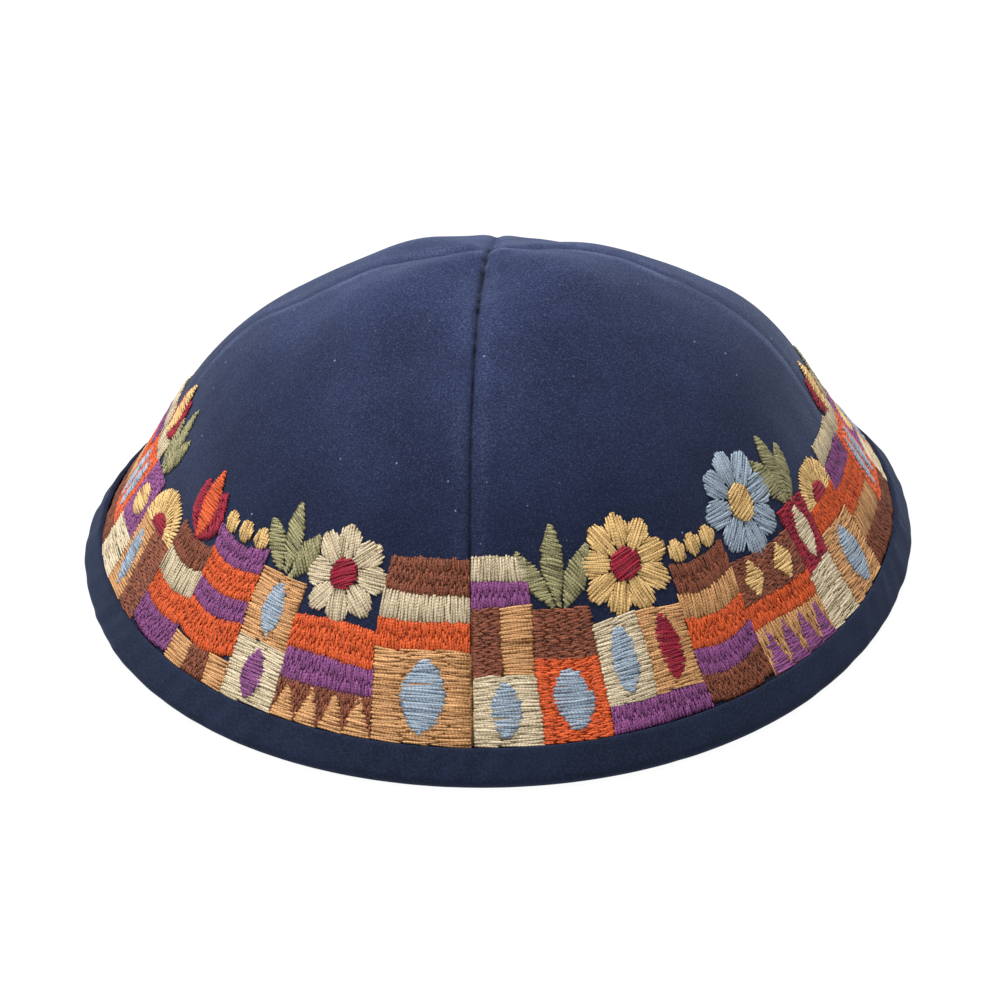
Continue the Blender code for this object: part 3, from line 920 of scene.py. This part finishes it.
def satin(patch):
    """Top stitches that fill a patch: rows of x0, y0, x1, y1 in millimetres."""
    step, usual, gap = SHORT_FILL if patch.layer == 0 and patch.colour in SHORT_FILLED else LONG_FILL
    found, cos, sin = rows_in(patch.outline, patch.turn_deg, step)
    stitches = []
    for number, row, start, end in found:
        lean = SHARED_HOLE * step * (1 if number % 2 else -1)
        start -= END_OVERLAP + random.normal(0, RAGGED_END)
        end += END_OVERLAP + random.normal(0, RAGGED_END)
        if end - start < SHORTEST_STITCH:
            continue
        parts = max(1, round((end - start) / usual))
        breaks = [start - gap]
        for part in range(1, parts):
            stray = STAGGER[number % len(STAGGER)] * usual + random.normal(0, BREAK_SCATTER * usual)
            breaks.append(start + (end - start) * part / parts + stray)
        breaks.append(end + gap)
        for a, b in zip(breaks, breaks[1:]):
            first, last = row + random.normal(0, HOLE_SCATTER, 2)
            stitches.append((a + gap, first - lean, b - gap, last + lean))
    return turned(stitches, cos, sin)


def underlay(patch):
    found, cos, sin = rows_in(patch.outline, patch.turn_deg + 90, UNDERLAY_STEP)
    stitches = []
    for _, row, start, end in found:
        start, end = start + UNDERLAY_INSET, end - UNDERLAY_INSET
        if end - start < UNDERLAY_SHORTEST:
            continue
        breaks = np.linspace(start, end, max(1, round((end - start) / UNDERLAY_STITCH)) + 1)
        stitches += [(a, row, b, row) for a, b in zip(breaks, breaks[1:])]
    return turned(stitches, cos, sin)


def radial(rays):
    """Two rings of stitches between an inner and an outer arc."""
    sweep = math.radians(rays.end_deg - rays.start_deg)
    stitches = []
    for first, last in RAY_RINGS:
        middle = rays.inner + (rays.outer - rays.inner) * (0.3 * first + 0.7 * last)
        count = max(3, round(sweep * middle / LONG_FILL.step))
        for number in range(count):
            angle = math.radians(rays.start_deg) + sweep * (number + 0.5) / count
            lean = SHARED_HOLE * sweep / count * (1 if number % 2 else -1)
            length = rays.outer - rays.inner
            inner = rays.inner + length * first + random.normal(0, RAGGED_END)
            outer = rays.inner + length * last + random.normal(0, RAGGED_END)
            stitches.append((
                rays.x + inner * math.cos(angle), rays.y + inner * math.sin(angle),
                rays.x + outer * math.cos(angle + lean), rays.y + outer * math.sin(angle + lean),
            ))
    return np.array(stitches)


def strand_places(lengths):
    """Where along each stitch its points stand, from 0 to 1, and how far each point has risen."""
    room = np.minimum(np.array(END_PLACES)[None, :] / lengths[:, None], (0.0, END_PART))
    middle = np.full((len(lengths), 1), 0.5)
    places = np.concatenate([room, middle, 1 - room[:, ::-1]], axis=1)
    rise = np.array((*END_RISE, MIDDLE_RISE, *END_RISE[::-1]))
    return places, rise[None, :] * np.minimum(1, SHORT_RISE + RISE_PER_MM * lengths)[:, None]


def flat_places(lengths):
    """The same for a flat stitch, which lies at one height."""
    return np.tile((0.0, 0.5, 1.0), (len(lengths), 1)), np.ones((len(lengths), 3))


def strands(quarter, ends, layers, size, places):
    """Tube points of many stitches at once, and how far each has turned in the thread's twist."""
    half_width, half_height, rise = size
    count = len(ends)
    lengths = np.hypot(ends[:, 2] - ends[:, 0], ends[:, 3] - ends[:, 1])
    t, arch = places(lengths)
    x = ends[:, 0:1] * (1 - t) + ends[:, 2:3] * t
    y = ends[:, 1:2] * (1 - t) + ends[:, 3:4] * t
    most_bow = np.minimum(MOST_BOW, BOW_SHARE * lengths)[:, None]
    bow = random.normal(0, 1, (count, 1)) * most_bow * np.sin(math.pi * t)
    x = x - bow * (ends[:, 3:4] - ends[:, 1:2]) / lengths[:, None]
    y = y + bow * (ends[:, 2:3] - ends[:, 0:1]) / lengths[:, None]
    inside = np.clip(np.minimum(x, PANEL_SPAN - x) / PULL_ROOM, 0, 1)
    above_foot = np.clip(y / PULL_ROOM, 0, 1)
    pull_x = PULL * inside * ripples(x, y, PULL_WAVE, 51 + quarter)
    pull_y = PULL * above_foot * ripples(x, y, PULL_WAVE, 61 + quarter)
    x, y = x + pull_x, y + pull_y
    azimuth = QUARTER * (quarter + np.clip(x, SEAM_ROOM, PANEL_SPAN - SEAM_ROOM) / PANEL_SPAN)
    reach = reach_up(azimuth, BAND_FOOT + np.maximum(y, 0) * MM)
    plan_x, plan_y = reach * np.cos(azimuth), reach * np.sin(azimuth)
    loose = 1 + LOOSENESS * random.normal(0, 1, (count, 1))
    under = LAYER_RISE * layers[:, None] * (LAYER_END + (1 - LAYER_END) * arch) + STITCH_FOOT
    lift = rise * loose * arch + under
    centre = on_cloth(plan_x, plan_y, lift)
    normal = outward(plan_x, plan_y)
    forward = unit(np.gradient(centre, axis=1))
    sideways = unit(np.cross(forward, normal))
    above = np.cross(sideways, forward)
    uneven = 1 + STRAND_SCATTER * random.normal(0, 1, (count, 1))
    thick = (END_THICKNESS + (1 - END_THICKNESS) * np.minimum(arch, 1)) * uneven
    rings = []
    for side in range(STRAND_SIDES):
        angle = 2 * math.pi * side / STRAND_SIDES
        rings.append(
            centre
            + sideways * (math.cos(angle) * half_width * thick)[..., None]
            + above * (math.sin(angle) * half_height * thick)[..., None]
        )
    along = t * lengths[:, None] / PLY_LAY + random.uniform(0, 1, (count, 1))
    turns = along[..., None] + np.arange(STRAND_SIDES) / STRAND_SIDES
    return np.stack(rings, axis=2), turns


def strand_faces(count, points):
    ring = np.arange(STRAND_SIDES)
    after = (ring + 1) % STRAND_SIDES
    quads = []
    for k in range(points - 1):
        low, high = k * STRAND_SIDES, (k + 1) * STRAND_SIDES
        quads.append(np.stack([low + ring, low + after, high + after, high + ring], axis=1))
    quads = np.concatenate(quads)
    offsets = np.arange(count) * points * STRAND_SIDES
    sides = (quads[None] + offsets[:, None, None]).reshape(-1, 4)
    first = (ring[::-1][None] + offsets[:, None])
    last = (ring[None] + (points - 1) * STRAND_SIDES + offsets[:, None])
    return sides, np.concatenate([first, last]), len(quads)


TOP_SIZE = (STRAND_HALF_WIDTH, STRAND_HALF_HEIGHT, STITCH_RISE)
UNDERLAY_SIZE = (UNDERLAY_HALF_WIDTH, UNDERLAY_HALF_HEIGHT, UNDERLAY_LIFT)


def sewn(panel, patches, fill, size, places):
    """One kind of stitch over all patches: its points, faces, colour slots and twist."""
    filled = [fill(patch) for patch in patches]
    ends = np.concatenate(filled)
    layers = np.concatenate([np.full(len(f), float(p.layer)) for f, p in zip(filled, patches)])
    slots = np.concatenate([np.full(len(f), THREAD_SLOT[p.colour]) for f, p in zip(filled, patches)])
    points, turns = strands(panel.quarter, ends, layers, size, places)
    sides, caps, sides_each = strand_faces(len(ends), points.shape[1])
    slots = np.concatenate([np.repeat(slots, sides_each), slots, slots])
    return points, np.concatenate([sides, caps]), slots, turns


def top_stitches(patch):
    return radial(patch) if isinstance(patch, Rays) else satin(patch)


def embroidery(panel, patches):
    flat = [patch for patch in patches if isinstance(patch, Patch)]
    top, top_faces, top_slots, top_turns = sewn(panel, patches, top_stitches, TOP_SIZE, strand_places)
    under, under_faces, under_slots, under_turns = sewn(panel, flat, underlay, UNDERLAY_SIZE, flat_places)
    faces = np.concatenate([top_faces, under_faces + top.size // 3])
    piece = new_piece(
        "stitches_" + panel.name, np.concatenate([top.reshape(-1, 3), under.reshape(-1, 3)]), faces.tolist(),
        THREAD_MATERIALS, np.concatenate([top_slots, under_slots]),
    )
    count, along = top.shape[:2]
    tone = TOP_TONE + TONE_BY_STITCH * random.normal(0, 1, (count, 1))
    tone = tone + TONE_BY_POINT * random.normal(0, 1, (count, along))
    tone[:, (0, -1)] -= END_SHADE
    top_tones = np.repeat(np.clip(tone, 0, 1), STRAND_SIDES)
    tones = np.concatenate([top_tones, np.full(under_turns.size, UNDERLAY_SHADE_TONE)])
    turns = np.concatenate([top_turns.ravel(), under_turns.ravel()])
    for name, values in (("strand_tone", tones), ("ply_turn", turns)):
        layer = piece.data.attributes.new(name, "FLOAT", "POINT")
        layer.data.foreach_set("value", values.astype(np.float32))
    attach(piece, "root")
    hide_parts("embroidery_" + panel.name)


for panel in PANELS:
    embroidery(panel, garden() if panel.quarter % 2 == 0 else orchard())


# Studio

FLOOR_RADIUS = 6.0
FLOOR_DROP = 0.2 * MM
FLOOR_GLOW = 0.96
AMBIENT_LIGHT = 0.46
LIGHT_AIM = Vector((0, 0, 0.03))


def floor():
    material, _ = new_material(
        "pale_floor", Roughness=0.9, IOR=1.45, Specular_IOR_Level=0.1,
        Emission_Color=linear("#ffffff"), Emission_Strength=FLOOR_GLOW,
        Base_Color=linear("#404040"),
    )
    bpy.ops.mesh.primitive_circle_add(
        vertices=96, radius=FLOOR_RADIUS, fill_type="NGON", location=(0, 0, -FLOOR_DROP),
    )
    piece = bpy.context.active_object
    piece.name = "pale_floor"
    piece.data.materials.append(material)


def area_light(name, place, size, power):
    data = bpy.data.lights.new(name, "AREA")
    data.shape = "DISK"
    data.size = size
    data.energy = power
    light = bpy.data.objects.new(name, data)
    bpy.context.scene.collection.objects.link(light)
    light.location = place
    light.rotation_euler = (LIGHT_AIM - Vector(place)).to_track_quat("-Z", "Y").to_euler()


def studio():
    floor()
    area_light("overhead_softbox", (-0.20, 0.25, 1.3), 1.0, 31)
    area_light("front_softbox", (-0.30, -1.3, 0.75), 1.0, 5)
    area_light("left_softbox", (-1.2, -0.35, 0.6), 0.8, 4)
    world = bpy.context.scene.world or bpy.data.worlds.new("studio")
    bpy.context.scene.world = world
    world.use_nodes = True
    background = world.node_tree.nodes["Background"]
    background.inputs["Color"].default_value = (1, 1, 1, 1)
    background.inputs["Strength"].default_value = AMBIENT_LIGHT
    bpy.context.scene.view_settings.view_transform = "Standard"


CAMERA_DISTANCE = 0.616
CAMERA_ELEVATION = math.radians(31.3)
CAMERA_TURN = math.radians(3.77)
CAMERA_ROLL = math.radians(1.2)
CAMERA_RAISE = math.radians(0.845)
CAMERA_LENS, CAMERA_SENSOR = 103.7, 36     # millimetres


def camera():
    level, rise = math.cos(CAMERA_ELEVATION), math.sin(CAMERA_ELEVATION)
    offset = Vector((math.sin(CAMERA_TURN) * level, -math.cos(CAMERA_TURN) * level, rise))
    forward = -offset
    right = forward.cross(Vector((0, 0, 1))).normalized()
    up = right.cross(forward)
    rolled_up = up * math.cos(CAMERA_ROLL) + right * math.sin(CAMERA_ROLL)
    rolled_right = right * math.cos(CAMERA_ROLL) - up * math.sin(CAMERA_ROLL)
    aim = forward * math.cos(CAMERA_RAISE) + rolled_up * math.sin(CAMERA_RAISE)
    rolled_up = rolled_right.cross(aim)
    data = bpy.data.cameras.new("camera")
    data.lens = CAMERA_LENS
    data.sensor_width = CAMERA_SENSOR
    data.clip_start = 0.01
    view = bpy.data.objects.new("camera", data)
    bpy.context.scene.collection.objects.link(view)
    facing = Matrix((rolled_right, rolled_up, -aim)).transposed().to_4x4()
    view.matrix_world = Matrix.Translation(Vector((*RIM_SHIFT, 0)) + offset * CAMERA_DISTANCE) @ facing
    bpy.context.scene.camera = view


studio()
camera()
